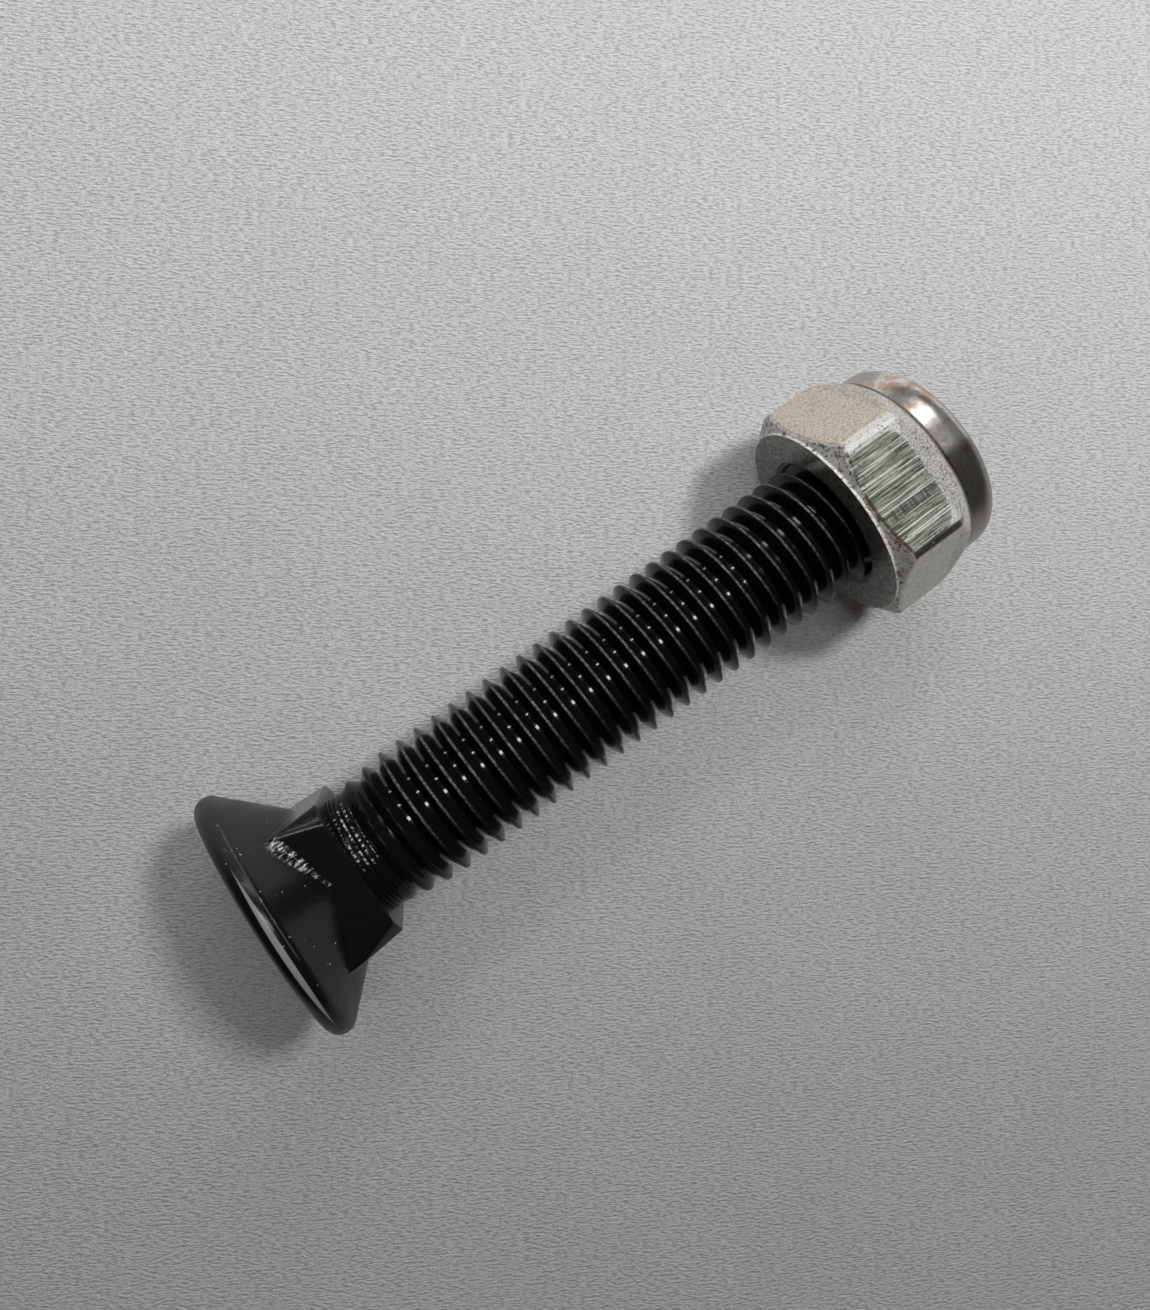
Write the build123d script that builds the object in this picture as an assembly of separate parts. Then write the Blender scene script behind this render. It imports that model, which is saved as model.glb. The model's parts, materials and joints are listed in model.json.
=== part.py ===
from build123d import *
import math
import os

# A plough bolt with its lock nut, lying on its side as it comes to rest.
# Lengths are in millimetres, angles in degrees. While the pieces are made the
# bolt's axis is X, with the middle of the head's face at zero and the nut's
# end towards +X. The last step lays the set down on the plane Z = 0.

# The thread is M12 with coarse pitch. It is drawn here as the cylinder that
# its crests touch, and the nut's thread as a bore round that cylinder.
thread_diameter = 12.0
thread_pitch = 1.75
thread_clearance = 0.05

# The bolt, from the middle of its head's face to the tip of its thread. The head
# was forged askew: it leans over two ways and sits a little to one side.
bolt_length = 71.0
head_diameter = 22.0
head_rim = 1.65
head_cone_angle = 90.0
head_face_bevel = 0.65
head_rim_rounding = 1.15
head_lean = 10.0
head_skew = 2.1
head_offset = 0.24

# The square neck under the head. A shallow cone takes its four corners off
# towards the thread.
neck_width = 12.0
neck_end = 9.35
neck_turn = 0.9
corner_cut_length = 4.0
corner_cut_diameter = 15.1

# Between the neck and the first full crest.
relief_diameter = 10.4
relief_length = 1.2
runout_turns = 2.0
tip_chamfer = 1.1

# The lock nut: a hexagon with a thin collar rolled in over a nylon ring. The
# tip of the bolt just stands out of it.
tip_stand_out = 0.7
nut_width = 18.9
nut_height = 12.1
nut_face_diameter = 17.7
nut_chamfer_angle = 33.0
nut_entry_chamfer = 0.4
shoulder_place = 6.1
collar_place = 8.4
collar_diameter = 18.6
collar_wall = 0.9
collar_rounding = 2.2

# The nylon ring in the nut's collar.
ring_floor = 8.7
ring_clearance = 0.04

thread_radius = thread_diameter / 2
bore_radius = thread_radius + thread_clearance
head_radius = head_diameter / 2
neck_corner = neck_width / math.sqrt(2)
nut_corner = nut_width / math.sqrt(3)
collar_radius = collar_diameter / 2
nut_place = bolt_length - tip_stand_out - nut_height


def turned(outline):
    """The solid that an outline of (place along X, radius) sweeps round the X axis."""
    return revolve(make_face(outline), Axis.X)


def head():
    """The countersunk head: a flat face with a bevelled edge, a rounded rim and a cone down to the neck."""
    cone_slope = math.tan(math.radians(head_cone_angle / 2))
    cone_tip = head_rim + head_radius / cone_slope
    corners = Polyline((0, 0), (0, head_radius), (head_rim, head_radius), (cone_tip, 0), close=True)
    outline = make_face(corners)
    face_corner = outline.vertices().sort_by_distance((0, head_radius))[0]
    outline = chamfer(face_corner, head_face_bevel)
    rim_corner = outline.vertices().sort_by_distance((head_rim, head_radius))[0]
    outline = fillet(rim_corner, head_rim_rounding)
    blank = revolve(outline, Axis.X)
    leaning = Pos(0, head_offset, 0) * Rot(0, 0, -head_skew) * Rot(0, head_lean, 0) * blank
    room = Box(neck_end + 4 * head_rim, 2 * head_diameter, 2 * head_diameter)
    return leaning & Pos(neck_end / 2, 0, 0) * room


def square_neck():
    """The square that keeps the bolt from turning, with its corners cut towards the thread."""
    cut_start = neck_end - corner_cut_length
    square = Plane.YZ.offset(head_rim) * Rectangle(neck_width, neck_width)
    block = extrude(square, neck_end - head_rim)
    corners = turned(
        Polyline(
            (head_rim, 0),
            (head_rim, neck_corner),
            (cut_start, neck_corner),
            (neck_end, corner_cut_diameter / 2),
            (neck_end, 0),
            close=True,
        )
    )
    return (block & corners).rotate(Axis.X, neck_turn)


def shank():
    """The plain relief behind the neck, the run-out up to the first full crest, the thread and its tip."""
    relief_radius = relief_diameter / 2
    relief_end = neck_end + relief_length
    first_full_crest = relief_end + runout_turns * thread_pitch
    return turned(
        Polyline(
            (head_rim, 0),
            (head_rim, relief_radius),
            (relief_end, relief_radius),
            (first_full_crest, thread_radius),
            (bolt_length - tip_chamfer, thread_radius),
            (bolt_length, thread_radius - tip_chamfer),
            (bolt_length, 0),
            close=True,
        )
    )


def make_bolt():
    return head() + square_neck() + shank()


def nut_outside():
    """The hexagon, its chamfered bearing face, its sloping shoulder and the collar."""
    face_radius = nut_face_diameter / 2
    chamfer_depth = (nut_corner - face_radius) * math.tan(math.radians(nut_chamfer_angle))
    hexagon = extrude(Plane.YZ * RegularPolygon(nut_width / 2, 6, major_radius=False), nut_height)
    corners_off = turned(
        Polyline(
            (0, 0),
            (0, face_radius),
            (chamfer_depth, nut_corner),
            (shoulder_place, nut_corner),
            (collar_place, collar_radius),
            (collar_place, 0),
            close=True,
        )
    )
    rounding_start = nut_height - collar_rounding
    sides = Polyline((shoulder_place, 0), (shoulder_place, collar_radius), (rounding_start, collar_radius))
    rolled_edge = TangentArc(
        (rounding_start, collar_radius), (nut_height, collar_radius - collar_rounding), tangent=(1, 0)
    )
    end = Polyline((nut_height, collar_radius - collar_rounding), (nut_height, 0), (shoulder_place, 0))
    return (hexagon & corners_off) + turned(sides + rolled_edge + end)


def collar_pocket(gap, inner_radius):
    """The room under the rolled collar, drawn in by a gap on every side, down to an inner radius."""
    outer_radius = collar_radius - collar_wall - gap
    bevel = collar_rounding - collar_wall
    floor = ring_floor + gap
    top = nut_height - collar_wall - gap
    return turned(
        Polyline(
            (floor, inner_radius),
            (floor, outer_radius),
            (top - bevel, outer_radius),
            (top, outer_radius - bevel),
            (top, inner_radius),
            close=True,
        )
    )


def make_nut():
    """The nut with its bore, the chamfer at the thread's start, the ring's pocket and the collar's mouth."""
    entry_radius = bore_radius + nut_entry_chamfer
    bore = turned(
        Polyline(
            (0, 0),
            (0, entry_radius),
            (nut_entry_chamfer, bore_radius),
            (ring_floor, bore_radius),
            (ring_floor, 0),
            close=True,
        )
    )
    mouth_radius = collar_radius - collar_rounding
    mouth = Pos(nut_height, 0, 0) * Rot(0, 90, 0) * Cylinder(mouth_radius, 4 * collar_wall)
    nut = nut_outside() - bore - collar_pocket(0, 0) - mouth
    return Pos(nut_place, 0, 0) * nut


def make_ring():
    """The nylon ring, free to turn in its pocket, its hole shaped by the thread that has run through it."""
    return Pos(nut_place, 0, 0) * collar_pocket(ring_clearance, bore_radius)


def lay_down(pieces):
    """Tip the set about Y until head and nut touch one plane, then centre it on Z = 0."""
    lean = 0.0
    for _ in range(4):
        head_low = (Rot(0, lean, 0) * pieces["bolt"]).bounding_box().min.Z
        nut_low = (Rot(0, lean, 0) * pieces["nut"]).bounding_box().min.Z
        lean += math.degrees(math.atan2(nut_low - head_low, nut_place + shoulder_place))
    tipped = {name: Rot(0, lean, 0) * piece for name, piece in pieces.items()}
    box = Compound(list(tipped.values())).bounding_box()
    middle = box.center()
    down = Pos(-middle.X, -middle.Y, -box.min.Z)
    print(f"axis tipped {lean:.4f} degrees, moved by {-middle.X:.4f}, {-middle.Y:.4f}, {-box.min.Z:.4f}")
    return {name: down * piece for name, piece in tipped.items()}


os.makedirs("parts", exist_ok=True)
set_of_pieces = {"bolt": make_bolt(), "nut": make_nut(), "nylon_ring": make_ring()}
for name, piece in lay_down(set_of_pieces).items():
    export_step(piece, f"parts/{name}.step")
    print(f"{name}: {piece.volume:.1f} mm3, valid {piece.is_valid}")
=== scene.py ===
# %% [markdown]
# # A plough bolt and its lock nut
#
# The object is a black countersunk bolt with a square neck, and a zinc-plated
# lock nut near the end of its thread. It lies on a pale surface and is seen
# from close above. The solids of the part are loaded as a fixed frame, and
# this script dresses them: it makes finer meshes for the steel pieces, with the
# real screw thread, and gives each its finish.

# %% The frame
import json
import math

import bpy
import numpy as np
from mathutils import Euler, Matrix, Vector


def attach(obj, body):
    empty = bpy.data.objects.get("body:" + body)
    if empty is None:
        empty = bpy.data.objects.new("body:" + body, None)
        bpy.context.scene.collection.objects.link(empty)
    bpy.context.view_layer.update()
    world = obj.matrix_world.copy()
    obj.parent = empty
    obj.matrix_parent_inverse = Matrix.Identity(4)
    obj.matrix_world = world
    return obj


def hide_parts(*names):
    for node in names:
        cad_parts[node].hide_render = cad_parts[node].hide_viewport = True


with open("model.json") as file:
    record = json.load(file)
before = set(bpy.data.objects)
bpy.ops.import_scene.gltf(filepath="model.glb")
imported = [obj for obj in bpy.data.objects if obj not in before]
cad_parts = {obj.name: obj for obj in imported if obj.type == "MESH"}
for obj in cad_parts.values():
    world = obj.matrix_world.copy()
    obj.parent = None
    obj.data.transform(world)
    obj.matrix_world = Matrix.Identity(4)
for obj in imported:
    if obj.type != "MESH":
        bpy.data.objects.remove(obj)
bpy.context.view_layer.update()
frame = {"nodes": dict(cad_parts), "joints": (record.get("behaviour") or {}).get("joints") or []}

# %% [markdown]
# ## One set of axes for the whole bolt
#
# The set rests on the head's rim and on the nut's lowest flat, so the bolt's
# axis isn't level. It is far easier to describe turned pieces along their own
# axis. So every mesh below is made in the bolt's own axes (X along the bolt
# from the face of the head, Z up) in millimetres, and one matrix lays it
# down. The nut's joint in the frame gives that matrix: its axis is the
# bolt's axis, and its place is the middle of the nut's bearing face.

# %% The bolt's own axes
MM = 0.001
NUT_PLACE = 58.2

screw = next(joint for joint in frame["joints"] if joint["name"] == "nut_turn")
along = Vector(screw["axis"]).normalized()
side = Vector((0, 1, 0))
up = along.cross(side)
head_face = Vector(screw["pos_m"]) - along * NUT_PLACE * MM
bolt_axes = Matrix.Translation(head_face) @ Matrix((along, side, up)).transposed().to_4x4()
print("the axis dips by", round(math.degrees(math.asin(-along.z)), 3), "degrees")

# %% [markdown]
# ## Meshes from grids of rings
#
# Turned and forged pieces are easiest to control as rings of points, one
# ring after another along the piece, with the same angles in every ring. A
# modifier could cut a hexagon with a cone just as well, but its edges would be
# razor sharp. With rings the radius at each angle comes from a formula, and two
# shapes can be blended softly where they meet, as forging does.

# %% Making pieces from rings
def new_piece(name, points, faces, body, sharp_angle=35):
    """A mesh piece in the bolt's axes, from points in millimetres, that rides on a body."""
    mesh = bpy.data.meshes.new(name)
    mesh.from_pydata((np.asarray(points) * MM).tolist(), [], faces)
    mesh.validate()
    mesh.shade_smooth()
    mesh.set_sharp_from_angle(angle=math.radians(sharp_angle))
    piece = bpy.data.objects.new(name, mesh)
    bpy.context.scene.collection.objects.link(piece)
    piece.matrix_world = bolt_axes
    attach(piece, body)
    triangles = sum(len(face.vertices) - 2 for face in mesh.polygons)
    print(f"{name}: {len(mesh.vertices)} points, {triangles} triangles")
    return piece


def ring_faces(ring_count, per_ring, around=False):
    """The quads between rings of points. Around closes the last ring to the first."""
    faces = []
    for ring in range(ring_count if around else ring_count - 1):
        here = ring * per_ring
        there = ((ring + 1) % ring_count) * per_ring
        for i in range(per_ring):
            j = (i + 1) % per_ring
            faces.append((here + i, here + j, there + j, there + i))
    return faces


def cylindrical(place, radius, angle):
    """Points from a place along X, a radius and an angle that runs from +Y towards +Z."""
    place, radius, angle = np.broadcast_arrays(place, radius, angle)
    return np.stack([place, radius * np.cos(angle), radius * np.sin(angle)], axis=-1)


def arc(first, last, count):
    """Evenly spaced angles from first to last, which are given in half turns."""
    return np.linspace(first, last, count) * math.pi


# %% [markdown]
# ## Soft joins between shapes
#
# Where two shapes meet, the larger radius at each angle makes an inner
# corner and the smaller one an outer edge. A bevel modifier could round such
# corners afterwards, but it stumbles where a cone runs into a prism at a
# changing angle. A soft larger and a soft smaller round them at once.

# %% Soft joins
def soft_max(a, b, softness):
    """The larger of two radii, with a small fillet where they cross."""
    return np.maximum(a, b) + softness * np.log1p(np.exp(-np.abs(a - b) / softness))


def soft_min(a, b, softness):
    """The smaller of two radii, with a small rounding where they cross."""
    return -soft_max(-a, -b, softness)


def prism_radius(angle, flats, half_width, first_flat, sharpness):
    """The radius at each angle of a prism with slightly rounded corners."""
    total = 0
    for flat in range(flats):
        facing = np.cos(angle - first_flat - flat * 2 * math.pi / flats)
        total = total + np.maximum(facing, 0) ** sharpness
    return half_width / total ** (1 / sharpness)


# %% [markdown]
# ## The head and the square neck
#
# A plough bolt is headed hot from a plain bar: one blow makes the
# countersunk head and the square under it, so the cone runs into the square
# with a small fillet and no seam. Here both are one surface. The head's
# outline is a face, two roundings and a cone, and it leans over by ten
# degrees as the real one does, which was forged askew. Further along, each
# ring takes the larger of the cone and the square at every angle.

# %% Sizes of the head and neck
HEAD_RADIUS = 11.0
HEAD_RIM = 1.65
FACE_ROUNDING = 1.12
RIM_ROUNDING = 1.15
HEAD_LEAN = math.radians(10.0)
HEAD_SKEW = math.radians(2.1)
HEAD_OFFSET = 0.24
FACE_RINGS = (0.02, 2, 4, 6, 8.5, HEAD_RADIUS - FACE_ROUNDING)
CONE_SHOWN_FROM = 10.5
CONE_SHOWN_TO = 9.6
CONE_FILLET = 0.07
NECK_HALF = 6.0
NECK_END = 9.35
NECK_TURN = math.radians(0.9)
NECK_SHARPNESS = 50
NECK_RINGS = 120
CORNER_CUT_START = 5.35
CORNER_CUT_RADIUS = 7.55
CORNER_SOFTNESS = 0.04
RELIEF_RADIUS = 5.2
EDGE_ROUNDING = 0.12
HIDDEN_LAP = 0.4
NECK_ANGLES = 480

neck_angle = NECK_TURN + np.arange(NECK_ANGLES) * 2 * math.pi / NECK_ANGLES
head_turn = np.array(Matrix.Rotation(-HEAD_SKEW, 3, "Z") @ Matrix.Rotation(HEAD_LEAN, 3, "Y"))
print("the head's axis in the bolt's axes:", head_turn[:, 0].round(3))

# %% [markdown]
# ## Rings that lean
#
# The head leans but the neck doesn't, and yet their rings have to join point
# by point. So each leaning ring is turned about its own axis until its points
# stand at the neck's angles. That has no short formula, but a few rounds
# of correcting the error get there. The cone's radius, seen from the
# bolt's axis, is found in the same way.

# %% Leaning rings
RING_ROUNDS = 8
CONE_ROUNDS = 40
CONE_STRIDE = 0.6
LEAST_RADIUS = 0.5


def leaning_ring(place, radius):
    """One ring of the leaning head, with its points at the same angles as the neck's."""
    turn = neck_angle.copy()
    for _ in range(RING_ROUNDS):
        ring = cylindrical(place, radius, turn) @ head_turn.T + (0, HEAD_OFFSET, 0)
        error = np.arctan2(ring[:, 2], ring[:, 1]) - neck_angle
        if radius > HEAD_RADIUS / 2:
            turn -= np.arctan2(np.sin(error), np.cos(error))
    return ring


def leaning_cone_radius(place):
    """How far out the head's cone is, at each angle, at a place along the bolt."""
    radius = np.full(NECK_ANGLES, NECK_HALF)
    for _ in range(CONE_ROUNDS):
        in_head = (cylindrical(place, radius, neck_angle) - (0, HEAD_OFFSET, 0)) @ head_turn
        gap = HEAD_RADIUS + HEAD_RIM - in_head[:, 0] - np.hypot(in_head[:, 1], in_head[:, 2])
        radius = np.maximum(radius + CONE_STRIDE * gap, LEAST_RADIUS)
    return radius


def neck_radius(place):
    """The square neck, with the shallow cone that takes its corners off towards the thread."""
    square = prism_radius(neck_angle, 4, NECK_HALF, NECK_TURN, NECK_SHARPNESS)
    share = (place - CORNER_CUT_START) / (NECK_END - CORNER_CUT_START)
    corner = NECK_HALF * math.sqrt(2)
    cut = corner + (CORNER_CUT_RADIUS - corner) * np.maximum(share, -0.3)
    return soft_min(square, cut, CORNER_SOFTNESS)


# %% [markdown]
# ## The head and neck as one piece
#
# The rings run from the middle of the head's face over its rim and along the
# cone and the neck, and end inside the shank, where the thread's own mesh
# hides the last of them.

# %% Head and neck
def head_rings():
    rings = [leaning_ring(0, radius) for radius in FACE_RINGS]
    for turn in arc(0.1, 0.5, 6):
        outward = HEAD_RADIUS - FACE_ROUNDING * (1 - math.sin(turn))
        rings.append(leaning_ring(FACE_ROUNDING * (1 - math.cos(turn)), outward))
    corner_run = RIM_ROUNDING * math.tan(math.pi / 8)
    for turn in arc(0.5, 0.25, 9):
        outward = HEAD_RADIUS - RIM_ROUNDING * (1 - math.sin(turn))
        rings.append(leaning_ring(HEAD_RIM - corner_run + RIM_ROUNDING * math.cos(turn), outward))
    for radius in np.linspace(CONE_SHOWN_FROM, CONE_SHOWN_TO, 5):
        rings.append(leaning_ring(HEAD_RIM + HEAD_RADIUS - radius, radius))
    return rings


def neck_rings(last_head_ring):
    rings = []
    start = last_head_ring[:, 0]
    stop = NECK_END - EDGE_ROUNDING
    for share in np.linspace(0, 1, NECK_RINGS)[1:]:
        place = start + (stop - start) * share
        radius = soft_max(leaning_cone_radius(place), neck_radius(place), CONE_FILLET)
        rings.append(cylindrical(place, radius, neck_angle))
    edge = neck_radius(NECK_END)
    for turn in arc(0.1, 0.5, 4):
        place = NECK_END - EDGE_ROUNDING * (1 - math.sin(turn))
        rings.append(cylindrical(place, edge - EDGE_ROUNDING * (1 - math.cos(turn)), neck_angle))
    for share in np.linspace(0, 1, 8)[1:]:
        inward = (edge - EDGE_ROUNDING) * (1 - share) + (RELIEF_RADIUS - HIDDEN_LAP) * share
        rings.append(cylindrical(NECK_END, inward, neck_angle))
    return rings


def make_head_and_neck():
    rings = head_rings()
    rings += neck_rings(rings[-1])
    points = np.concatenate(rings)
    faces = [face[::-1] for face in ring_faces(len(rings), NECK_ANGLES)]
    first = tuple(range(NECK_ANGLES))
    last = tuple(range(len(points) - NECK_ANGLES, len(points)))
    faces += [first, last[::-1]]
    return new_piece("bolt_head_and_neck", points, faces, "bolt")


head_and_neck = make_head_and_neck()

# %% [markdown]
# ## The screw thread
#
# The thread is the largest thing to see on this bolt. A bump map would leave
# its outline smooth, and the outline is a saw edge. A screw modifier on a
# profile would work, but it can't fade the first turns. So the thread is
# worked out: one pitch of the section (crest, flank, narrow root, flank) is
# carried along the helix, and each turn's last point is the next turn's
# first.

# %% The thread's section
PITCH = 1.75
THREAD_RADIUS = 6.0
CREST_PLACE = 11.54
ROOT_RADIUS = 4.86
CREST_FLAT = 0.11
CREST_ROUNDING = 0.07
FLANK = math.radians(30)
THREAD_SHARP_ANGLE = 50


def thread_section():
    """Half a pitch as (distance from the crest's middle, radius), from crest to root."""
    crest_half = PITCH / 16
    root_half = PITCH / 2 - crest_half - (THREAD_RADIUS - ROOT_RADIUS) * math.tan(FLANK)
    points = [(CREST_FLAT / 2, THREAD_RADIUS)]
    for turn in (0.5, 1.0):
        drop = CREST_ROUNDING * (1 - math.cos(turn * (math.pi / 2 - FLANK)))
        out = crest_half - CREST_ROUNDING * 0.2 + CREST_ROUNDING * 0.6 * turn
        points.append((out, THREAD_RADIUS - drop))
    for share in (0.35, 0.7):
        radius = THREAD_RADIUS - share * (THREAD_RADIUS - ROOT_RADIUS)
        points.append((crest_half + (THREAD_RADIUS - radius) * math.tan(FLANK), radius))
    return points + [(PITCH / 2 - root_half, ROOT_RADIUS), (PITCH / 2, ROOT_RADIUS)]


def whole_section():
    """One pitch from root to root, without the last point, which the next turn has."""
    half = thread_section()
    return [(-d, r) for d, r in reversed(half)] + half[:-1]


section = whole_section()
print("points in one pitch of thread:", len(section))

# %% [markdown]
# ## The bolt's shank
#
# Thread rollers press the thread into a plain bar and lift off before the
# neck, so the last turns fade into the shank there. At the other end the
# turns are cut by a chamfer, which helps a nut to start. Both are done by
# changing the helix's points before they are bent round the axis.

# %% The shank's thread
TURN_STEPS = 96
SHANK_START = 8.7
BOLT_LENGTH = 71.0
TIP_CHAMFER = 1.1
FADE_PLACES = (10.2, 11.5, 15.0)
FADE_DEPTHS = (0.0, 0.45, 1.0)


def helix_points(first_turn, turns):
    """The thread's points: one row for each step along the helix, with the section's points."""
    steps = np.arange(turns * TURN_STEPS + 1)
    angle = 2 * math.pi * steps / TURN_STEPS
    centre = CREST_PLACE + PITCH * (first_turn + steps / TURN_STEPS)
    place = centre[:, None] + np.array([d for d, _ in section])[None, :]
    radius = np.broadcast_to(np.array([r for _, r in section]), place.shape)
    place, radius = shape_of_shank(place, radius)
    return cylindrical(place, radius, angle[:, None])


def shape_of_shank(place, radius):
    """Fades the thread out towards the neck and cuts it with the tip's chamfer."""
    depth = np.interp(place, FADE_PLACES, FADE_DEPTHS)
    radius = RELIEF_RADIUS + (radius - RELIEF_RADIUS) * depth
    chamfer = THREAD_RADIUS - TIP_CHAMFER + (BOLT_LENGTH - place)
    radius = np.minimum(radius, np.maximum(chamfer, THREAD_RADIUS - TIP_CHAMFER))
    return np.clip(place, SHANK_START, BOLT_LENGTH), radius


def helix_faces(steps, per_step):
    """The quads along the helix. A section's last point is joined to the next turn's first."""
    faces = []

    def index(step, j):
        return step * per_step + j if j < per_step else (step + TURN_STEPS) * per_step

    for step in range(steps - TURN_STEPS):
        for j in range(per_step):
            here = (index(step, j), index(step, j + 1))
            faces.append((*here, index(step + 1, j + 1), index(step + 1, j)))
    return faces


def make_thread():
    first_turn = math.floor((SHANK_START - CREST_PLACE) / PITCH) - 1
    turns = math.ceil((BOLT_LENGTH - SHANK_START) / PITCH) + 3
    points = helix_points(first_turn, turns)
    steps, per_step, _ = points.shape
    last_start = (steps - 1) * per_step
    tip_ring = tuple(range(last_start - TURN_STEPS * per_step, last_start, per_step))
    start_ring = tuple(range(0, TURN_STEPS * per_step, per_step))
    faces = helix_faces(steps - 1, per_step) + [tip_ring[::-1], start_ring]
    flat = points.reshape(-1, 3)
    return new_piece("bolt_thread", flat, faces, "bolt", THREAD_SHARP_ANGLE)


thread = make_thread()
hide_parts("bolt")
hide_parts("bolt")

# %% [markdown]
# ## The lock nut
#
# The nut is a hexagon whose corners are cut by a cone at the bearing face
# and slope down to a thin collar at the other end. The collar was rolled in
# over the nylon ring. Rings of points fit again: at each angle the radius
# is the smallest of the hexagon, the chamfer cone and the shoulder's slope.

# %% Sizes of the nut
NUT_HALF = 9.45
NUT_SHARPNESS = 45
NUT_FACE_RADIUS = 8.85
NUT_CHAMFER = math.radians(33.0)
SHOULDER_PLACE = 6.1
COLLAR_PLACE = 8.4
COLLAR_RADIUS = 9.3
COLLAR_WALL = 0.9
COLLAR_ROUNDING = 2.2
MOUTH_ROUNDING = 0.1
NUT_HEIGHT = 12.1
BORE_RADIUS = 6.05
ENTRY_CHAMFER = 0.4
RING_FLOOR = 8.7
CHAMFER_SOFTNESS = 0.03
SHOULDER_SOFTNESS = 0.12
COLLAR_SOFTNESS = 0.03
NUT_SHARP_ANGLE = 30
NUT_ANGLES = 600

nut_angle = np.arange(NUT_ANGLES) * 2 * math.pi / NUT_ANGLES
hexagon = prism_radius(nut_angle, 6, NUT_HALF, math.pi / 2, NUT_SHARPNESS)
print("the hexagon's radius runs from", hexagon.min().round(2), "to", hexagon.max().round(2), "mm")

# %% [markdown]
# ## The nut's outside and inside
#
# The rings start at the bore's entry, cross the bearing face, run up the
# hexagon and over the rolled collar, and come back inside along the ring's
# pocket and the bore. Most of them stand close together where the chamfer
# and the shoulder cut the corners, because those edges are curved.

# %% Nut
def nut_ring(place, radius):
    """One ring of the nut. A single number as radius makes it round."""
    return cylindrical(place, np.broadcast_to(radius, NUT_ANGLES), nut_angle)


def nut_side_radius(place):
    """The nut's radius at each angle at a place along its hexagon."""
    corner = NUT_HALF / math.cos(math.pi / 6)
    chamfer = NUT_FACE_RADIUS + place / math.tan(NUT_CHAMFER)
    slope = (corner - COLLAR_RADIUS) / (COLLAR_PLACE - SHOULDER_PLACE)
    shoulder = corner - (place - SHOULDER_PLACE) * slope
    radius = soft_min(hexagon, chamfer, CHAMFER_SOFTNESS)
    radius = soft_min(radius, shoulder, SHOULDER_SOFTNESS)
    return soft_max(radius, COLLAR_RADIUS, COLLAR_SOFTNESS)


def nut_outside():
    face = np.linspace(BORE_RADIUS + ENTRY_CHAMFER, NUT_FACE_RADIUS - 0.05, 6)
    rings = [nut_ring(0, radius) for radius in face]
    at_chamfer = np.linspace(0.02, 1.6, 34)
    on_flats = np.linspace(1.7, 5.8, 14)
    at_shoulder = np.linspace(5.9, COLLAR_PLACE + 0.2, 30)
    for place in np.concatenate([at_chamfer, on_flats, at_shoulder]):
        rings.append(nut_ring(place, nut_side_radius(place)))
    rounding_start = NUT_HEIGHT - COLLAR_ROUNDING
    rings += [nut_ring(place, COLLAR_RADIUS) for place in (COLLAR_PLACE + 0.5, rounding_start)]
    for turn in arc(0, 0.5, 12)[1:]:
        outward = COLLAR_RADIUS - COLLAR_ROUNDING * (1 - math.cos(turn))
        rings.append(nut_ring(rounding_start + COLLAR_ROUNDING * math.sin(turn), outward))
    return rings


def nut_inside():
    mouth = COLLAR_RADIUS - COLLAR_ROUNDING
    pocket = COLLAR_RADIUS - COLLAR_WALL
    bevel = COLLAR_ROUNDING - COLLAR_WALL
    return [
        nut_ring(NUT_HEIGHT - EDGE_ROUNDING, mouth - MOUTH_ROUNDING),
        nut_ring(NUT_HEIGHT - COLLAR_WALL, mouth),
        nut_ring(NUT_HEIGHT - COLLAR_WALL - bevel, pocket),
        nut_ring(RING_FLOOR, pocket),
        nut_ring(RING_FLOOR, BORE_RADIUS),
        nut_ring(ENTRY_CHAMFER, BORE_RADIUS),
    ]


def make_nut():
    rings = nut_outside() + nut_inside()
    points = np.concatenate(rings) + np.array([NUT_PLACE, 0, 0])
    faces = [face[::-1] for face in ring_faces(len(rings), NUT_ANGLES, around=True)]
    return new_piece("nut_body", points, faces, "nut", NUT_SHARP_ANGLE)


nut = make_nut()
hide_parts("nut")

# %% [markdown]
# ## The camera
#
# The photograph was taken from close above, so the nut, which is nearer the
# edge of the view, shows its bearing face and the far end of the bolt looks
# smaller. The place and turn of the camera come from fitting the thread's
# crests: they are one pitch apart, so they work like the marks of a ruler.

# %% Camera
CAMERA_PLACE = (24.147, 12.762, 86.423)
CAMERA_TURN = (3.643, -8.439, -34.816)
LENS = 27.855
SENSOR_WIDTH = 36
VIEW_SHIFT = -0.0737
NEAREST_SEEN = 0.001

camera_data = bpy.data.cameras.new("camera")
camera_data.lens = LENS
camera_data.sensor_width = SENSOR_WIDTH
camera_data.shift_y = VIEW_SHIFT
camera_data.clip_start = NEAREST_SEEN
camera = bpy.data.objects.new("camera", camera_data)
camera_turn = Euler([math.radians(turn) for turn in CAMERA_TURN]).to_matrix().to_4x4()
camera.matrix_world = bolt_axes @ Matrix.Translation(Vector(CAMERA_PLACE) * MM) @ camera_turn
bpy.context.scene.collection.objects.link(camera)
bpy.context.scene.camera = camera
print("camera at", [round(c * 1000, 1) for c in camera.matrix_world.translation], "mm")

# %% [markdown]
# ## Formulas for finishes
#
# A finish is a tree of nodes, and most of its nodes do plain sums. They
# are easier to read as formulas. So a socket is wrapped in a small class
# whose sums and products add Math nodes for single values, and Vector Math
# nodes for vectors. Plain numbers stay plain numbers.

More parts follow.
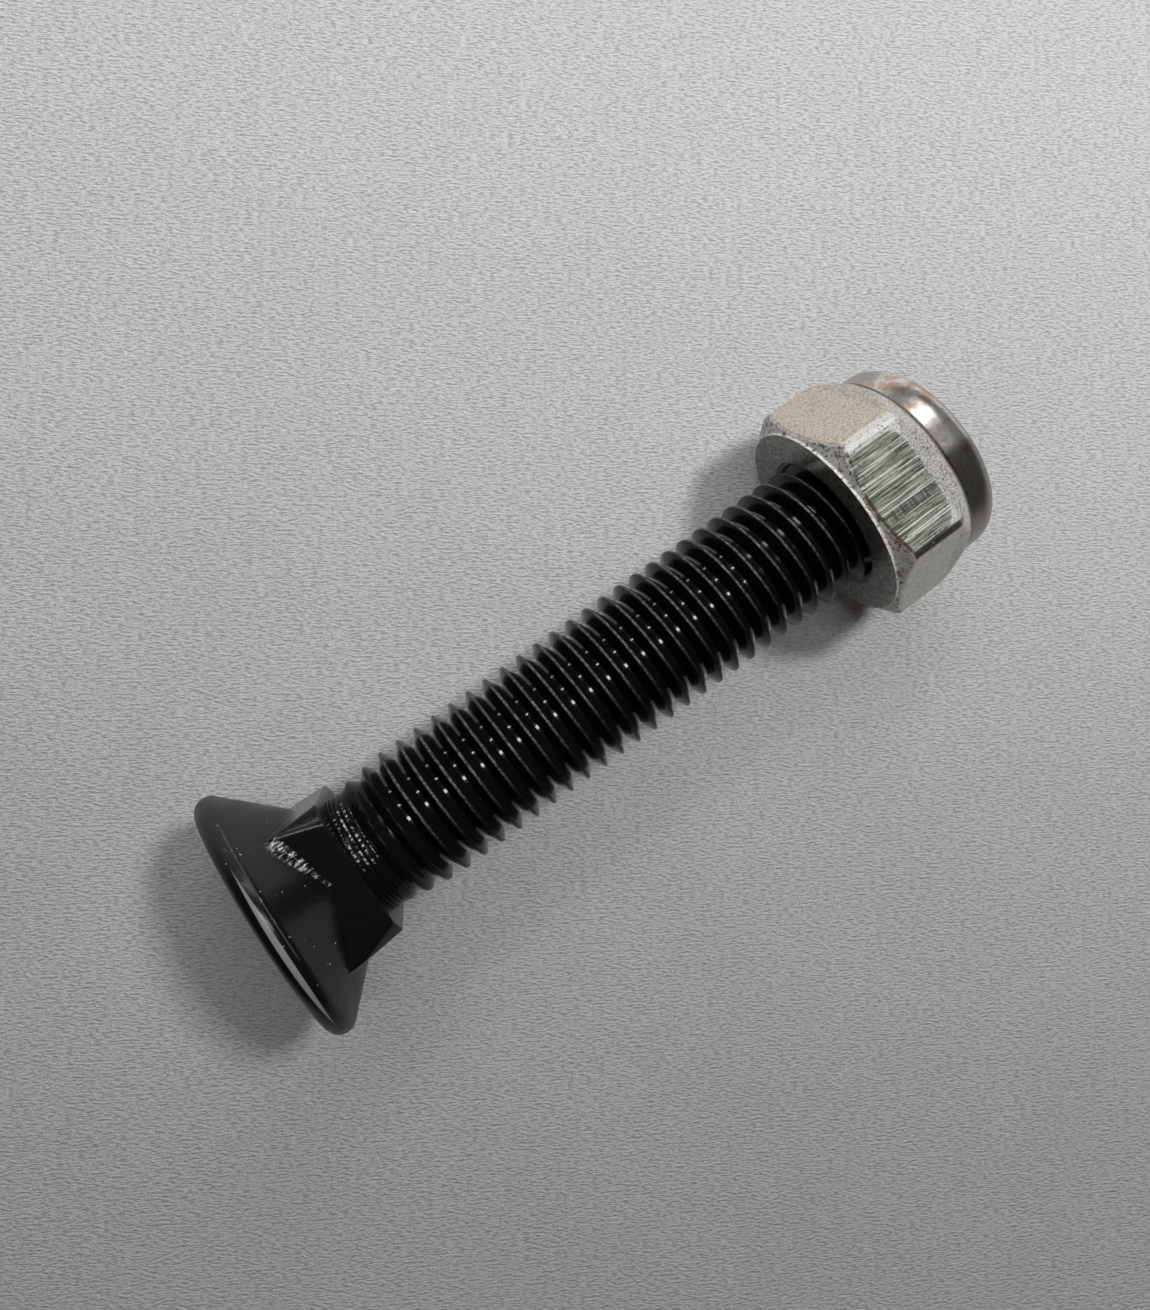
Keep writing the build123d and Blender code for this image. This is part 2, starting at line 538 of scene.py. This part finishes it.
# %% Sockets that can be reckoned with
class Field:
    """A value or a vector that varies over a surface, as a socket that can be reckoned with."""

    def __init__(self, finish, socket):
        self.finish = finish
        self.socket = socket

    def reckon(self, operation, first, second):
        """Adds the node that does one sum with two fields or numbers."""
        vector = any(isinstance(v, Field) and v.socket.type == "VECTOR" for v in (first, second))
        node = self.finish.tree.nodes.new("ShaderNodeVectorMath" if vector else "ShaderNodeMath")
        node.operation = operation
        for socket, value in zip(node.inputs, (first, second)):
            if vector and isinstance(value, (int, float)):
                value = (value, value, value)
            self.finish.give(socket, value)
        return Field(self.finish, node.outputs[0])

    def __add__(self, other):
        return self.reckon("ADD", self, other)

    def __radd__(self, other):
        return self.reckon("ADD", other, self)

    def __sub__(self, other):
        return self.reckon("SUBTRACT", self, other)

    def __rsub__(self, other):
        return self.reckon("SUBTRACT", other, self)

    def __mul__(self, other):
        return self.reckon("MULTIPLY", self, other)

    def __rmul__(self, other):
        return self.reckon("MULTIPLY", other, self)

    def __truediv__(self, other):
        return self.reckon("DIVIDE", self, other)

    def __pow__(self, other):
        return self.reckon("POWER", self, other)

    def __abs__(self):
        return self.reckon("ABSOLUTE", self, 0.0)

    def larger(self, other):
        return self.reckon("MAXIMUM", self, other)


# %% [markdown]
# ## A finish under construction
#
# Every finish here is one Principled shader, fed by formulas of the place on
# the piece in millimetres. This class holds its tree and the steps that all
# finishes need: a noise, a soft step, a band, a mix of two colours and a
# height for small bumps. Painted textures would do too, but formulas stay
# sharp from any distance.

# %% Finishes
MIX_FIRST, MIX_SECOND, MIX_RESULT = 6, 7, 2  # the Mix node's sockets for colours


class Finish:
    """A material under construction: its node tree, its shader and the usual steps."""

    def __init__(self, name):
        self.material = bpy.data.materials.new(name)
        self.material.use_nodes = True
        self.tree = self.material.node_tree
        self.shader = self.tree.nodes["Principled BSDF"]
        self.place = self.node("ShaderNodeTexCoord", output="Object") * (1 / MM)
        self.x, self.y, self.z = self.parts(self.place)

    def give(self, socket, value):
        """Links a field to a socket, or sets it to a plain value."""
        if isinstance(value, Field):
            self.tree.links.new(value.socket, socket)
        else:
            socket.default_value = value

    def node(self, kind, settings=None, output=0, **inputs):
        """Adds a node: its settings first, then its inputs by name. Gives one of its outputs."""
        node = self.tree.nodes.new(kind)
        for name, value in (settings or {}).items():
            setattr(node, name, value)
        for name, value in inputs.items():
            self.give(node.inputs[name.replace("_", " ")], value)
        return Field(self, node.outputs[output])

    def parts(self, vector):
        """The three parts of a vector."""
        node = self.tree.nodes.new("ShaderNodeSeparateXYZ")
        self.give(node.inputs[0], vector)
        return [Field(self, output) for output in node.outputs]

    def vector(self, x, y, z):
        return self.node("ShaderNodeCombineXYZ", X=x, Y=y, Z=z)

    def across(self):
        """How far out a point is from the bolt's axis."""
        return (self.y * self.y + self.z * self.z) ** 0.5

    def turns(self):
        """How far round the bolt's axis a point is, in turns."""
        return self.z.reckon("ARCTAN2", self.z, self.y) * (0.5 / math.pi)

    def noise(self, place, scale, detail=3.0, roughness=0.55):
        """Soft random values between about 0.25 and 0.75."""
        settings = {"Scale": scale, "Detail": detail, "Roughness": roughness}
        return self.node("ShaderNodeTexNoise", Vector=place, **settings)

    def wave(self, value, per_mm):
        """Even ripples between 0 and 1."""
        return value.reckon("SINE", value * (2 * math.pi * per_mm), 0.0) * 0.5 + 0.5

    def step(self, value, low, high):
        """Rises smoothly from 0 at low to 1 at high, or falls where low is the larger."""
        settings = {"interpolation_type": "SMOOTHSTEP"}
        names = ("Value", "From Min", "From Max", "To Min", "To Max")
        numbers = (value, low, high, 0.0, 1.0) if low < high else (value, high, low, 1.0, 0.0)
        return self.node("ShaderNodeMapRange", settings, **dict(zip(names, numbers)))

    def band(self, value, low, high, soft):
        """1 between low and high, with soft ends."""
        return self.step(value, low - soft, low) * self.step(value, high + soft, high)

    def spots(self, place, scale, low, high, detail=3.0, roughness=0.55):
        """Random spots, where a noise rises past low. They are full where it passes high."""
        return self.step(self.noise(place, scale, detail, roughness), low, high)

    def mix(self, share, first, second):
        """A colour between two colours."""
        node = self.tree.nodes.new("ShaderNodeMix")
        node.data_type = "RGBA"
        self.give(node.inputs["Factor"], share)
        for socket, colour in ((MIX_FIRST, first), (MIX_SECOND, second)):
            colour = colour if isinstance(colour, Field) else (*colour, 1.0)
            self.give(node.inputs[socket], colour)
        return Field(self, node.outputs[MIX_RESULT])

    def bumps(self, height, strength):
        """Raises the surface by a height that is given in millimetres."""
        normal = self.node("ShaderNodeBump", Strength=strength, Distance=MM, Height=height)
        self.give(self.shader.inputs["Normal"], normal)

    def shade(self, **inputs):
        """Gives the shader its inputs by name, and gives the finished material."""
        for name, value in inputs.items():
            self.give(self.shader.inputs[name.replace("_", " ")], value)
        return self.material


def put_on(piece, material):
    """Gives a piece its finish, and says how large the finish is."""
    piece.data.materials.clear()
    piece.data.materials.append(material)
    print(f"{material.name}: {len(material.node_tree.nodes)} nodes")


# %% [markdown]
# ## The black finish of the thread
#
# The bolt is blackened and then oiled, so it shines. The reflections come
# from the paper at the sides and from a few long lamps, and almost nothing
# comes from above, which is why the middle of the bolt is nearly pure black.
# The finish needs a dark colour, a roughness that varies and a fine grain.
# Oil stays in the roots: a clear coat there catches the lamps in a row of
# small glints, one for each turn.

# %% Black on the thread
BLACK = (0.0035, 0.0035, 0.004)
WORN_CREST_AND_HIGHLIGHT = (0.115, 0.115, 0.12)
DUST = (0.12, 0.12, 0.12)
SCRAPED_DOTS = (0.36, 0.36, 0.36)
LINES_END = 11.6
DOTS_END = 11.0


def black_grain(finish):
    """The fine unevenness of the black layer, in millimetres."""
    fine = finish.noise(finish.place, 9.0, 4.0, 0.6)
    broad = finish.noise(finish.place, 1.1, 2.0)
    return fine * 0.008 + broad * 0.025


def upper_side(finish):
    """1 on the side that lies upwards, and 0 below the axis."""
    return finish.step(finish.z, 0.0, 2.0)


def dots_behind_neck(finish):
    """Rows of dots, where the die that squared the neck scraped the shank."""
    behind_neck = finish.band(finish.x, NECK_END + 0.1, DOTS_END, 0.1)
    rows = finish.step(finish.wave(finish.x, 2.1), 0.62, 0.80) * behind_neck
    rows = rows * finish.band(finish.y, 0.2, 4.0, 0.8) * upper_side(finish)
    dot_place = finish.vector(finish.x * 2.0, finish.y * 4.5, 0.0)
    return rows * finish.spots(dot_place, 1.0, 0.50, 0.58, 2.0, 0.6)


def black_on_thread():
    finish = Finish("black_thread")
    across = finish.across()
    # The crests get a thin pale line, partly from wear and partly a painted highlight, most on the
    # side that lies upwards.
    crest = finish.step(across, THREAD_RADIUS - 0.018, THREAD_RADIUS - 0.001)
    crest = crest * finish.step(finish.y, -3.5, 2.5) * upper_side(finish)
    worn = finish.spots(finish.place, 3.2, 0.46, 0.58, 4.0, 0.75)
    dust = finish.spots(finish.place, 6.0, 0.62, 0.72, 3.0, 0.7)
    colour = finish.mix(crest * (worn * 0.75 + 0.25), BLACK, WORN_CREST_AND_HIGHLIGHT)
    colour = finish.mix(dust * 0.08, colour, DUST)
    colour = finish.mix(dots_behind_neck(finish), colour, SCRAPED_DOTS)
    # Between the neck and the first crests the rollers left a few shallow lines.
    lines = finish.band(finish.x, NECK_END + 0.1, LINES_END, 0.1) * finish.wave(finish.x, 2.8)
    finish.bumps(black_grain(finish) + lines * 0.09, 0.6)
    oiled = finish.step(across, ROOT_RADIUS + 0.12, ROOT_RADIUS + 0.04)
    return finish.shade(
        Base_Color=colour,
        Roughness=0.14 + worn * 0.08,
        Specular_IOR_Level=0.14,
        Coat_Weight=oiled,
    )


put_on(thread, black_on_thread())

# %% [markdown]
# ## The black finish of the head
#
# The head's cone and face are dull from handling and painted paler at the sides as a sheen, and its
# rim is glossy, with a lens-shaped painted reflection in grey. Bare steel shows in
# three places: in short scrapes where the cone meets the top of the square,
# along the rim's edge and in a few specks. Most of these places are found
# from how deep a point is in the head, measured along the leaning axis.

# %% Black on the head
HANDLED_BLACK_AND_SHEEN = (0.0125, 0.013, 0.0135)
RIM_REFLECTION_GREY = (0.17, 0.178, 0.174)
BARE_STEEL = (0.55, 0.54, 0.52)
LAND_PLACE = 0.95
LAND_HALF = 0.22
LAND_TAPER = 0.0046
LAND_MIDDLE = 1.2
SCRAPES_PLACE = 7.2
SCRAPES_SLANT = 0.31


def painted_rim_reflection(finish, in_head):
    """The lens-shaped painted reflection on the rim."""
    from_middle = finish.y + LAND_MIDDLE
    half = LAND_HALF - from_middle * from_middle * LAND_TAPER
    return finish.step(abs(in_head - LAND_PLACE) - half, 0.05, -0.04) * upper_side(finish)


def scrapes_on_cone(finish):
    """The short marks where the cone meets the top of the square."""
    along_mark = finish.y * SCRAPES_SLANT + finish.x
    half = finish.step(finish.y, 0.0, 5.5) * 0.38 + 0.12
    zone = finish.step(abs(along_mark - SCRAPES_PLACE) - half, 0.1, -0.1)
    zone = zone * finish.band(finish.y, 0.6, 5.4, 0.5) * finish.step(finish.z, 5.0, 5.8)
    streaks = finish.vector(finish.x * 1.2, finish.y * 4.5, finish.z * 1.2)
    return zone * finish.spots(streaks, 1.0, 0.50, 0.58, 4.0, 0.75)


def scrapes_on_rim(finish, in_head):
    """The thin bare line along the edge between rim and cone."""
    zone = finish.band(in_head, HEAD_RIM - 0.07, HEAD_RIM - 0.01, 0.06)
    zone = zone * finish.band(finish.y, -1.0, 8.0, 1.5) * upper_side(finish)
    return zone * (finish.spots(finish.place, 1.6, 0.54, 0.70, 2.0, 0.5) * 0.5 + 0.06)


def handling_and_sheen(finish, in_head, on_cone):
    """How dull the black is from handling, and how much paler as a painted sheen: most at both
    sides of the cone, less on top.
    """
    sides = finish.step(abs(finish.y + 0.3), 3.0, 7.5) * 0.85 + 0.15
    sides = sides.larger(finish.step(in_head, 0.3, 0.1) * 0.7)
    return on_cone * sides * (finish.spots(finish.place, 0.5, 0.25, 0.6, 3.0, 0.5) * 0.5 + 0.5)


def black_on_head():
    finish = Finish("black_head")
    lean_x, lean_y, lean_z = (float(part) for part in head_turn[:, 0])
    in_head = finish.x * lean_x + (finish.y - HEAD_OFFSET) * lean_y + finish.z * lean_z
    widest = abs(finish.y).larger(abs(finish.z))
    on_cone = finish.step(widest, NECK_HALF + 0.05, NECK_HALF + 0.5)
    on_cone = on_cone.larger(finish.step(in_head, HEAD_RIM - 0.05, HEAD_RIM - 0.15))
    handled_and_sheen = handling_and_sheen(finish, in_head, on_cone)
    # Paler at the sides: partly dull from handling, partly a painted sheen.
    colour = finish.mix(handled_and_sheen, BLACK, HANDLED_BLACK_AND_SHEEN)
    on_rim = finish.band(in_head, 0.15, HEAD_RIM - 0.1, 0.2)
    colour = finish.mix(on_rim * finish.step(finish.y, 7.5, 5.0), colour, BLACK)
    # A painted reflection: a grey lens on the rim.
    colour = finish.mix(painted_rim_reflection(finish, in_head), colour, RIM_REFLECTION_GREY)
    specks = on_cone * finish.spots(finish.place, 2.6, 0.75, 0.78, 1.0, 0.5)
    bare = scrapes_on_cone(finish).larger(scrapes_on_rim(finish, in_head)).larger(specks * 0.5)
    colour = finish.mix(bare, colour, BARE_STEEL)
    finish.bumps(black_grain(finish) + bare * 0.02, 0.7)
    return finish.shade(
        Base_Color=colour,
        Roughness=0.2 + handled_and_sheen * 0.28,
        Metallic=bare * 0.5,
        Specular_IOR_Level=0.4,
        Coat_Weight=0.1,
    )


put_on(head_and_neck, black_on_head())

# %% [markdown]
# ## The zones of the nut
#
# Plating is thin and takes the marks of everything that touched the nut. One
# flat was rubbed along the bolt, its neighbour is stained a dull beige, the
# chamfer is speckled and the rolled collar is polished. Every zone is found
# by a formula in the nut's own measures, such as how far out a point is from
# the axis, so that the zones fit the shape. A zone is 1 inside and 0 outside,
# and its ends are soft.

# %% Zones of the nut
ON_FLAT = (NUT_HALF - 0.25, NUT_HALF - 0.09)
RUB_PLACE, RUB_HALF_LENGTH = 3.3, 3.1
RUB_MIDDLE, RUB_HALF_WIDTH = -0.2, 4.95
NEAR_TOP = (8.9, 9.1)


class NutFinish(Finish):
    """The nut's finish under construction, which knows the grain and the zones of the nut."""

    def __init__(self, name):
        super().__init__(name)
        self.grain = self.noise(self.place, 7.0, 4.0, 0.7)
        self.fine_grain = self.noise(self.place, 19.0, 3.0, 0.7)
        self.blotches = self.noise(self.place, 0.8, 3.0, 0.6)
        self.clumps = self.noise(self.place, 2.4, 4.0, 0.75)
        self.from_face = self.x - NUT_PLACE
        n, y, z = self.from_face, self.y, self.z
        across = self.across()

        self.on_face = self.step(n, 0.03, 0.01)
        self.in_bore = self.step(across, BORE_RADIUS + 0.2, BORE_RADIUS + 0.1)
        inside_chamfer = NUT_FACE_RADIUS + n / math.tan(NUT_CHAMFER) - across
        self.on_chamfer = self.step(inside_chamfer, 0.16, 0.08) * self.step(n, 0.03, 0.08)
        self.top_flat = self.step(z, *ON_FLAT)
        self.upper_flat = self.step(y * math.cos(math.pi / 6) + z * 0.5, *ON_FLAT)
        beside_chamfer = self.band(inside_chamfer, 0.12, 0.45, 0.2) * self.band(n, 0.15, 2.4, 0.1)
        self.chamfer_edge = beside_chamfer * (self.top_flat * 0.6 + 0.4)

        on_collar = self.step(across, COLLAR_RADIUS + 0.08, COLLAR_RADIUS + 0.02)
        self.on_collar = on_collar * self.step(n, COLLAR_PLACE - 0.3, COLLAR_PLACE - 0.15)
        collar_edge = self.step(across, COLLAR_RADIUS + 0.6, COLLAR_RADIUS + 0.3)
        self.collar_edge = self.band(n, COLLAR_PLACE - 0.25, COLLAR_PLACE + 0.02, 0.1) * collar_edge

        near_top = self.step(z, *NEAR_TOP)
        # The ridge between the top and the upper flat, where a highlight is painted.
        self.ridge = self.band(y, 4.8, 5.7, 0.12) * near_top * self.band(n, 1.2, 7.6, 0.3)
        self.lower_edge = self.band(y, -5.5, -5.1, 0.28) * near_top * self.band(n, 1.2, 7.4, 0.3)
        shoulder = self.step(n, SHOULDER_PLACE, SHOULDER_PLACE + 0.5)
        self.shoulder = shoulder * (1.0 - self.on_collar) * (1.0 - self.ridge)

        # The rubbed part of the top flat is an oblong with round corners and a frayed outline.
        share_n = (n - RUB_PLACE) / RUB_HALF_LENGTH + (self.grain - 0.5) * 0.25
        share_y = (y - RUB_MIDDLE) / RUB_HALF_WIDTH
        squareness = share_n**4.0 + share_y**4.0
        self.rubbed = self.top_flat * self.step(squareness, 1.1, 0.8)


# %% [markdown]
# ## The rubbed flat
#
# Rubbing leaves long fine streaks along the bolt, a few of them bright, and
# here one row of short marks across them. A noise that is stretched along
# the bolt makes streaks, and where it is stretched more they are longer. The
# third part of each noise's place is a constant that keeps the noises apart.

# %% Streaks on the rubbed flat
BRUSHED_DARK = (0.07, 0.08, 0.065)
BRUSHED_PALE = (0.54, 0.57, 0.49)
BRIGHT_LINE = (0.97, 1.0, 0.93)


def rubbed_streaks(finish):
    """The streaks, the bright lines among them, and the colour that both give."""
    n, y = finish.from_face, finish.y
    across_row = finish.band(y, -2.0, -1.2, 0.12)
    short_marks = finish.spots(finish.vector(n * 3.2, 0.0, 5.0), 1.0, 0.42, 0.58, 1.0)
    broad = finish.noise(finish.vector(n * 0.07, y * 0.9, 0.0), 1.0, 1.0, 0.5)
    fine = finish.noise(finish.vector(n * 0.45, y * 6.0, 3.0), 1.0, 2.0, 0.6)
    streaks = finish.step(broad * 0.1 + fine * 0.55 + finish.fine_grain * 0.35, 0.40, 0.62)
    streaks = streaks * (1.0 - across_row * short_marks * 0.8)
    bright = finish.spots(finish.vector(n * 0.12, y * 4.4, 11.0), 1.0, 0.54, 0.61, 2.0, 0.6)
    colour = finish.mix(streaks, BRUSHED_DARK, BRUSHED_PALE)
    colour = finish.mix(bright * (1.0 - across_row) * 0.8, colour, BRIGHT_LINE)
    return streaks + bright, colour


# %% [markdown]
# ## The rolled collar
#
# The collar was burnished by the rolls, so it is smooth, and its pale colour is partly a painted
# highlight. It has a blotchy tint and a patch of rust. Painted shade darkens it towards both sides,
# and it is darker brown towards its mouth.

# %% Colours of the collar
COLLAR_PALE_AND_HIGHLIGHT = (0.92, 0.90, 0.86)
COLLAR_TINT = (0.55, 0.42, 0.32)
RUST = (0.62, 0.38, 0.22)
COLLAR_SHADE = (0.12, 0.105, 0.085)
COLLAR_SHADE_GREY = (0.16, 0.15, 0.13)
MOUTH_BROWN = (0.16, 0.10, 0.07)


def collar_colour(finish):
    n, y = finish.from_face, finish.y
    tint = finish.step(finish.blotches * 0.7 + finish.grain * 0.3, 0.50, 0.62)
    # The pale colour is partly a painted highlight.
    colour = finish.mix(tint * 0.5, COLLAR_PALE_AND_HIGHLIGHT, COLLAR_TINT)
    rust = finish.step(finish.blotches * 0.6 + finish.grain * 0.4, 0.44, 0.54)
    rust = finish.band(y, 4.6, 7.8, 0.8) * rust
    colour = finish.mix(rust * 0.7, colour, RUST)
    # Painted shade towards both sides of the collar.
    colour = finish.mix(finish.step(y, 0.8, -0.4) * 0.8, colour, COLLAR_SHADE)
    colour = finish.mix(finish.step(y, 7.6, 8.6) * 0.6, colour, COLLAR_SHADE_GREY)
    return finish.mix(finish.step(n, 10.9, 11.6) * 0.75, colour, MOUTH_BROWN)


# %% [markdown]
# ## The zinc finish
#
# The zones are laid over each other, from the plain zinc of the flats to the
# dark specks that lie on everything. The same zones set how metallic, how
# rough and how uneven the surface is. Zinc that has dulled in air is only
# partly metallic to the eye.

# %% Zinc finish
ZINC_DARK = (0.40, 0.39, 0.37)
ZINC_PALE = (0.76, 0.75, 0.72)
BEIGE_DARK = (0.30, 0.25, 0.20)
BEIGE_PALE = (0.70, 0.64, 0.56)
RIDGE_HIGHLIGHT = (0.95, 0.94, 0.90)
EDGE_DARK = (0.03, 0.026, 0.02)
PIT_DARK = (0.13, 0.125, 0.11)
PIT_PALE = (0.62, 0.61, 0.57)
SPECKLE_DARK = (0.15, 0.14, 0.12)
FACE_DARK = (0.14, 0.13, 0.12)
FACE_PALE = (0.42, 0.41, 0.39)
CHAMFER_BROWN = (0.075, 0.045, 0.028)
CREASE_SHADE = (0.05, 0.045, 0.04)
SPECK_DARK = (0.06, 0.05, 0.04)
BORE_THREAD_DEPTH = 0.7
SIDE_DENT = 0.3


def colour_of_flats(finish):
    """The plain and the stained flats, the painted highlight on the ridge and the dark edge between
    them.
    """
    grain, fine_grain = finish.grain, finish.fine_grain
    plain = finish.mix(finish.step(grain, 0.40, 0.60), ZINC_DARK, ZINC_PALE)
    stained = finish.step(grain * 0.6 + fine_grain * 0.4, 0.42, 0.54)
    colour = finish.mix(finish.upper_flat, plain, finish.mix(stained, BEIGE_DARK, BEIGE_PALE))
    streaks, brushed = rubbed_streaks(finish)
    colour = finish.mix(finish.rubbed, colour, brushed)
    # A painted highlight along the ridge.
    colour = finish.mix(finish.ridge * finish.step(grain, 0.3, 0.5), colour, RIDGE_HIGHLIGHT)
    colour = finish.mix(finish.lower_edge * finish.step(grain, 0.25, 0.45), colour, EDGE_DARK)
    pits = finish.step(grain * 0.5 + fine_grain * 0.5, 0.44, 0.56)
    pitted = finish.mix(pits, PIT_DARK, PIT_PALE)
    colour = finish.mix(finish.shoulder * (finish.top_flat * 0.35 + 0.45), colour, pitted)
    return streaks, colour


def colour_of_ends(finish, colour):
    """The speckled chamfer, the collar, the mottled bearing face, the brown chamfer edge and the
    painted shade in the collar's crease.
    """
    speckle = finish.mix(finish.step(finish.clumps, 0.52, 0.60), ZINC_PALE, SPECKLE_DARK)
    colour = finish.mix(finish.on_chamfer, colour, speckle)
    colour = finish.mix(finish.on_collar, colour, collar_colour(finish))
    mottled = finish.step(finish.clumps * 0.5 + finish.grain * 0.5, 0.42, 0.58)
    colour = finish.mix(finish.on_face, colour, finish.mix(mottled, FACE_DARK, FACE_PALE))
    brown = finish.chamfer_edge * finish.step(finish.blotches, 0.35, 0.5)
    colour = finish.mix(brown * 0.9, colour, CHAMFER_BROWN)
    # Painted shade in the crease where the collar meets the shoulder.
    return finish.mix(finish.collar_edge * 0.7, colour, CREASE_SHADE)


def height_of_zinc(finish, streaks):
    """The unevenness of the nut, in millimetres, with the thread in its bore."""
    smooth = finish.on_collar.larger(finish.on_face) * 0.85
    height = (finish.grain * 0.07 + finish.fine_grain * 0.03) * (1.0 - smooth)
    height = height + finish.rubbed * streaks * 0.03
    dent = finish.step(finish.y, 4.3, 5.6) * finish.step(finish.z, -0.5, 0.5)
    height = height - dent * (1.0 - finish.on_collar) * SIDE_DENT
    # The nut's own thread only shows when the nut is screwed off.
    thread_wave = finish.wave(finish.from_face / PITCH - finish.turns(), 1.0)
    return height + finish.in_bore * thread_wave * BORE_THREAD_DEPTH


def zinc_on_nut():
    finish = NutFinish("zinc")
    streaks, colour = colour_of_flats(finish)
    colour = colour_of_ends(finish, colour)
    specks = finish.spots(finish.place, 4.2, 0.61, 0.67, 2.0, 0.6)
    colour = finish.mix(specks * 0.75, colour, SPECK_DARK)
    rubbed, ridge = finish.rubbed, finish.ridge
    on_collar, on_face = finish.on_collar, finish.on_face
    metal = 0.25 + rubbed * 0.2 + on_collar * 0.65 + on_face * 0.4 + ridge * 0.4
    rough = 0.5 - rubbed * 0.08 - on_collar * 0.24 - on_face * 0.2 - ridge * 0.15
    finish.bumps(height_of_zinc(finish, streaks), 0.8)
    return finish.shade(Base_Color=colour, Metallic=metal, Roughness=rough)


put_on(nut, zinc_on_nut())

# %% [markdown]
# ## The nylon ring
#
# The ring inside the collar is plain moulded nylon. It is a solid of the
# frame already, so it only needs a finish.

# %% Nylon
NYLON_YELLOW = (0.70, 0.68, 0.60)
NYLON_WHITE = (0.82, 0.80, 0.73)


def nylon():
    finish = Finish("nylon")
    colour = finish.mix(finish.noise(finish.place, 2.0, 2.0), NYLON_YELLOW, NYLON_WHITE)
    finish.bumps(finish.noise(finish.place, 8.0, 3.0) * 0.02, 0.4)
    return finish.shade(Base_Color=colour, Roughness=0.45)


put_on(frame["nodes"]["nylon_ring"], nylon())

# %% [markdown]
# ## The paper
#
# The bolt lies on drawing paper, whose tooth is pressed in with its long marks all one way. A noise
# that is stretched that way makes the tooth, both as small bumps and as painted shade in its
# hollows. The paper's colour is also painted darker on one side, as shade where less light reaches
# it.

# %% Paper
PAPER_SIZE = 1.5
GRAIN_TURN = math.radians(-34.7)
TOOTH_ALONG, TOOTH_ACROSS = 1.7, 5.0
SHADE_RUN = 150
PAPER_SHADE_GREY = (0.395, 0.395, 0.395)
PAPER_PALE = (0.77, 0.778, 0.80)
HOLLOW_SHADE = (0.12, 0.12, 0.12)


def paper():
    finish = Finish("paper")
    along_grain = finish.x * math.cos(GRAIN_TURN) + finish.y * math.sin(GRAIN_TURN)
    across_grain = finish.y * math.cos(GRAIN_TURN) - finish.x * math.sin(GRAIN_TURN)
    tooth_place = finish.vector(along_grain * TOOTH_ALONG, across_grain * TOOTH_ACROSS, 0.0)
    tooth = finish.noise(tooth_place, 1.0, 4.0, 0.62)
    clouds = finish.noise(finish.place, 0.05, 2.0)
    far_side = across_grain / SHADE_RUN + 0.5 + (clouds - 0.5) * 0.15
    # Painted shade: darker on one side.
    colour = finish.mix(finish.step(far_side, 0.0, 1.0), PAPER_SHADE_GREY, PAPER_PALE)
    # Painted shade in the tooth's hollows.
    colour = finish.mix(finish.step(tooth, 0.55, 0.38) * 0.38, colour, HOLLOW_SHADE)
    finish.bumps(tooth * 0.6, 0.9)
    return finish.shade(Base_Color=colour, Roughness=0.9)


half = PAPER_SIZE / 2
corners = [(-half, -half, 0), (half, -half, 0), (half, half, 0), (-half, half, 0)]
floor_mesh = bpy.data.meshes.new("paper")
floor_mesh.from_pydata(corners, [], [(0, 1, 2, 3)])
floor = bpy.data.objects.new("paper", floor_mesh)
bpy.context.scene.collection.objects.link(floor)
put_on(floor, paper())

# %% [markdown]
# ## The lamps
#
# The light is soft and comes from the upper right, where it leaves pale
# shadows at the head's and the nut's left. Two lamps make those shadows and
# aren't mirrored, because shiny steel would show their outlines. The long
# ones lie along the bolt. They draw the rows of small glints in the roots of
# the thread, since each root mirrors a lamp at the same height.

# %% Lamps
def soft_box(name, place, size, power, colour=(1, 1, 1), mirrored=True):
    """A lamp with a flat square or oblong face that looks at the bolt."""
    data = bpy.data.lights.new(name, "AREA")
    data.shape = "RECTANGLE"
    data.size, data.size_y = size
    data.energy = power
    data.color = colour
    lamp = bpy.data.objects.new(name, data)
    lamp.location = place
    lamp.rotation_euler = (-Vector(place)).to_track_quat("-Z", "Y").to_euler()
    lamp.visible_glossy = mirrored
    bpy.context.scene.collection.objects.link(lamp)
    print(f"{name}: {power} W, {Vector(place).length:.2f} m away")


WARM_WHITE = (1.0, 0.99, 0.97)

soft_box("key_window", (0.25, 0.05, 0.42), (0.07, 0.07), 1.55, WARM_WHITE, mirrored=False)
soft_box("far_window", (0.16, 0.26, 0.35), (0.28, 0.28), 0.30, mirrored=False)
soft_box("bright_window", (0.30, 0.38, 0.42), (0.20, 0.20), 0.45)
soft_box("long_window", (0.05, 0.10, 0.69), (0.38, 0.08), 1.15)
soft_box("far_lamp", (0.05, 0.45, 0.52), (0.34, 0.03), 0.42)
soft_box("low_window", (0.05, 0.67, 0.17), (0.34, 0.03), 0.20)

# %% [markdown]
# ## The room
#
# The room above is dark, and the black bolt shows that. But a dark room
# would make the shadows black too. So the room has three colours: one for
# the light that falls on things, a darker one for what shiny things mirror,
# and a pale grey where it is seen past the paper's end.

# %% Room
ROOM_LIGHT = (0.062, 0.052, 0.045)
ROOM_MIRRORED = (0.012, 0.012, 0.012)
ROOM_SEEN = (0.42, 0.42, 0.43)

world = bpy.data.worlds.new("room")
world.use_nodes = True
room = world.node_tree
rays = room.nodes.new("ShaderNodeLightPath")


def colour_for_rays(kind, colour):
    """A mix that gives its second colour to one kind of ray."""
    choose = room.nodes.new("ShaderNodeMix")
    choose.data_type = "RGBA"
    choose.inputs[MIX_SECOND].default_value = (*colour, 1)
    room.links.new(rays.outputs[kind], choose.inputs["Factor"])
    return choose


mirrored = colour_for_rays("Is Glossy Ray", ROOM_MIRRORED)
mirrored.inputs[MIX_FIRST].default_value = (*ROOM_LIGHT, 1)
seen = colour_for_rays("Is Camera Ray", ROOM_SEEN)
room.links.new(mirrored.outputs[MIX_RESULT], seen.inputs[MIX_FIRST])
room.links.new(seen.outputs[MIX_RESULT], room.nodes["Background"].inputs["Color"])
bpy.context.scene.world = world
bpy.context.scene.view_settings.view_transform = "Standard"
print("nodes in the room:", len(room.nodes))
